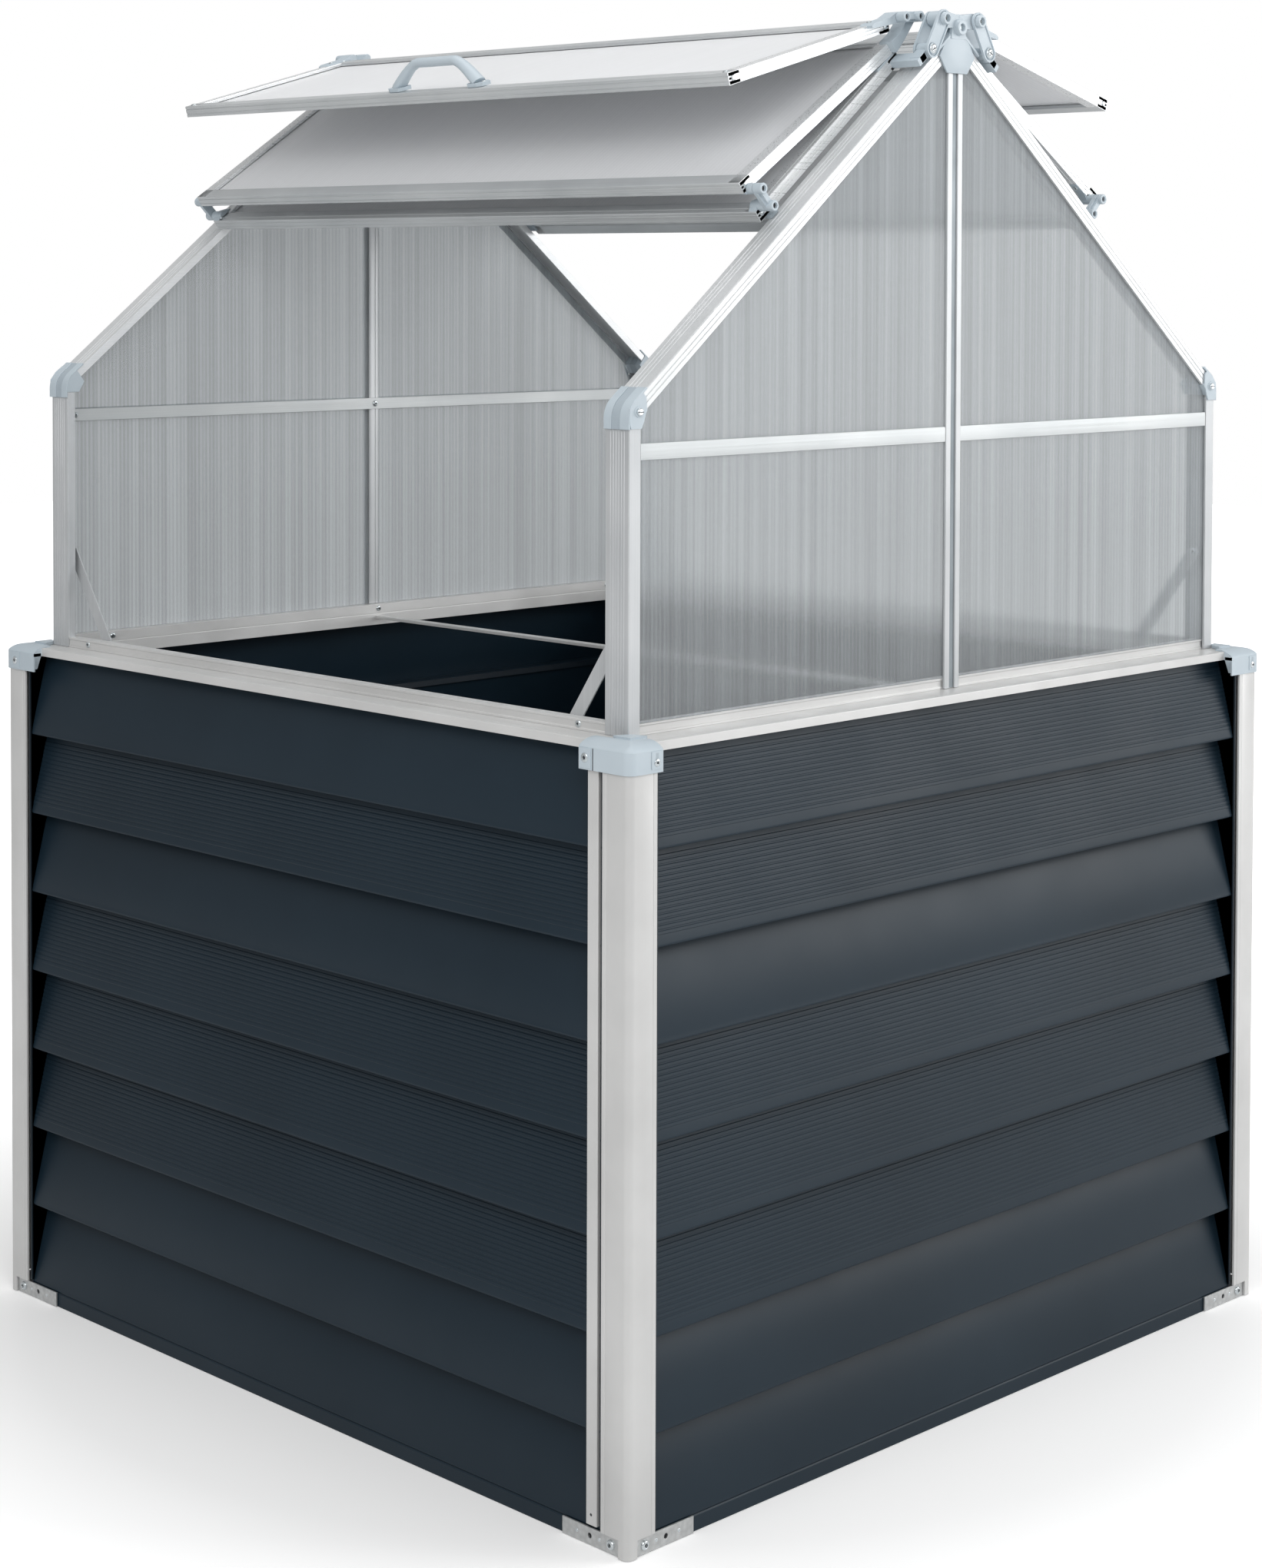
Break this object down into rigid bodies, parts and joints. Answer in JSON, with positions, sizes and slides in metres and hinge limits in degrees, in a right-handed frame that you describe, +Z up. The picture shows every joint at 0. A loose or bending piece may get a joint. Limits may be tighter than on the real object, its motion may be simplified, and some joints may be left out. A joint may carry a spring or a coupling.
{
  "type": "cold frame",
  "caption": "Raised garden bed of lapped steel slats with a gabled aluminium and polycarbonate greenhouse top whose side covers fold up onto the ridge.",
  "frame": {"origin": "centre of the footprint on the ground", "axes": "+Z up, Y along the ridge with the front gable at -Y, X across the ridge"},
  "size_m": [1.1994, 1.1994, 1.6959],
  "materials": {
    "post": "satin light silver-grey coating",
    "rim": "satin light silver-grey coating",
    "wall": "satin anthracite blue-grey coating",
    "plastic": "light blue-grey moulded plastic",
    "galvanised": "galvanised sheet",
    "frame": "bright extruded with fine lines",
    "panel": "bright extruded frame with a translucent twin-wall sheet",
    "glazing": "translucent twin-wall polycarbonate with fine flutes"
  },
  "bodies": {
    "bed_and_frame": {"bed_post_front_left": "post", "foot_bracket_front_left": "galvanised", "corner_cap_front_left": "plastic", "bed_post_front_right": "post", "foot_bracket_front_right": "galvanised", "corner_cap_front_right": "plastic", "bed_post_back_left": "post", "foot_bracket_back_left": "galvanised", "corner_cap_back_left": "plastic", "bed_post_back_right": "post", "foot_bracket_back_right": "galvanised", "corner_cap_back_right": "plastic", "wall_front": "wall", "wall_back": "wall", "wall_left": "wall", "wall_right": "wall", "rim_frame": "rim", "tie_bar": "rim", "gable_post_front_left": "frame", "rafter_front_left": "frame", "eave_connector_front_left": "plastic", "brace_front_left": "frame", "gable_post_front_right": "frame", "rafter_front_right": "frame", "eave_connector_front_right": "plastic", "brace_front_right": "frame", "gable_post_back_left": "frame", "rafter_back_left": "frame", "eave_connector_back_left": "plastic", "brace_back_left": "frame", "gable_post_back_right": "frame", "rafter_back_right": "frame", "eave_connector_back_right": "plastic", "brace_back_right": "frame", "ridge_connector_front": "plastic", "glazing_bars_front": "frame", "gable_pane_front": "glazing", "ridge_connector_back": "plastic", "glazing_bars_back": "frame", "gable_pane_back": "glazing"},
    "ridge_link_left": {"ridge_link_left_front": "plastic", "ridge_link_left_back": "plastic"},
    "upper_panel_left": {"upper_panel_left": "panel"},
    "fold_link_left": {"fold_link_left_front": "plastic", "fold_link_left_back": "plastic"},
    "lower_panel_left": {"lower_panel_left": "panel"},
    "drop_link_left": {"drop_link_left_front": "plastic", "drop_link_left_back": "plastic"},
    "side_panel_left": {"side_panel_left": "panel", "handle_left": "plastic"},
    "ridge_link_right": {"ridge_link_right_front": "plastic", "ridge_link_right_back": "plastic"},
    "upper_panel_right": {"upper_panel_right": "panel"},
    "fold_link_right": {"fold_link_right_front": "plastic", "fold_link_right_back": "plastic"},
    "lower_panel_right": {"lower_panel_right": "panel"},
    "drop_link_right": {"drop_link_right_front": "plastic", "drop_link_right_back": "plastic"},
    "side_panel_right": {"side_panel_right": "panel", "handle_right": "plastic"}
  },
  "joints": [
    {"name": "ridge_link_hinge_left", "type": "hinge", "parent": "bed_and_frame", "child": "ridge_link_left", "pos_m": [-0.033, 0, 1.685], "axis": [0, 1, 0], "range_deg": [0, 60]},
    {"name": "upper_panel_hinge_left", "type": "hinge", "parent": "ridge_link_left", "child": "upper_panel_left", "pos_m": [-0.054, 0, 1.64766], "axis": [0, 1, 0], "range_deg": [0, 40]},
    {"name": "fold_link_hinge_left", "type": "hinge", "parent": "upper_panel_left", "child": "fold_link_left", "pos_m": [-0.304, 0, 1.4571], "axis": [0, -1, 0], "range_deg": [0, 82.2]},
    {"name": "lower_panel_hinge_left", "type": "hinge", "parent": "fold_link_left", "child": "lower_panel_left", "pos_m": [-0.32309, 0, 1.4762], "axis": [0, -1, 0], "range_deg": [0, 99.9]},
    {"name": "drop_link_hinge_left", "type": "hinge", "parent": "lower_panel_left", "child": "drop_link_left", "pos_m": [-0.04607, 0, 1.6881], "axis": [0, 1, 0], "range_deg": [0, 68.4]},
    {"name": "side_panel_hinge_left", "type": "hinge", "parent": "drop_link_left", "child": "side_panel_left", "pos_m": [-0.07199, 0, 1.68606], "axis": [0, 1, 0], "range_deg": [0, 40.4]},
    {"name": "ridge_link_hinge_right", "type": "hinge", "parent": "bed_and_frame", "child": "ridge_link_right", "pos_m": [0.033, 0, 1.685], "axis": [0, -1, 0], "range_deg": [0, 60]},
    {"name": "upper_panel_hinge_right", "type": "hinge", "parent": "ridge_link_right", "child": "upper_panel_right", "pos_m": [0.054, 0, 1.64766], "axis": [0, -1, 0], "range_deg": [0, 40]},
    {"name": "fold_link_hinge_right", "type": "hinge", "parent": "upper_panel_right", "child": "fold_link_right", "pos_m": [0.304, 0, 1.4571], "axis": [0, 1, 0], "range_deg": [0, 82.2]},
    {"name": "lower_panel_hinge_right", "type": "hinge", "parent": "fold_link_right", "child": "lower_panel_right", "pos_m": [0.32309, 0, 1.4762], "axis": [0, 1, 0], "range_deg": [0, 99.9]},
    {"name": "drop_link_hinge_right", "type": "hinge", "parent": "lower_panel_right", "child": "drop_link_right", "pos_m": [0.04607, 0, 1.6881], "axis": [0, -1, 0], "range_deg": [0, 68.4]},
    {"name": "side_panel_hinge_right", "type": "hinge", "parent": "drop_link_right", "child": "side_panel_right", "pos_m": [0.07199, 0, 1.68606], "axis": [0, -1, 0], "range_deg": [0, 40.4]}
  ],
  "couplings": [
    {"joint": "lower_panel_hinge_left", "follows": "fold_link_hinge_left", "ratio": 1.2144},
    {"joint": "drop_link_hinge_left", "follows": "fold_link_hinge_left", "ratio": 0.8311},
    {"joint": "side_panel_hinge_left", "follows": "fold_link_hinge_left", "ratio": 0.491},
    {"joint": "lower_panel_hinge_right", "follows": "fold_link_hinge_right", "ratio": 1.2144},
    {"joint": "drop_link_hinge_right", "follows": "fold_link_hinge_right", "ratio": 0.8311},
    {"joint": "side_panel_hinge_right", "follows": "fold_link_hinge_right", "ratio": 0.491}
  ]
}
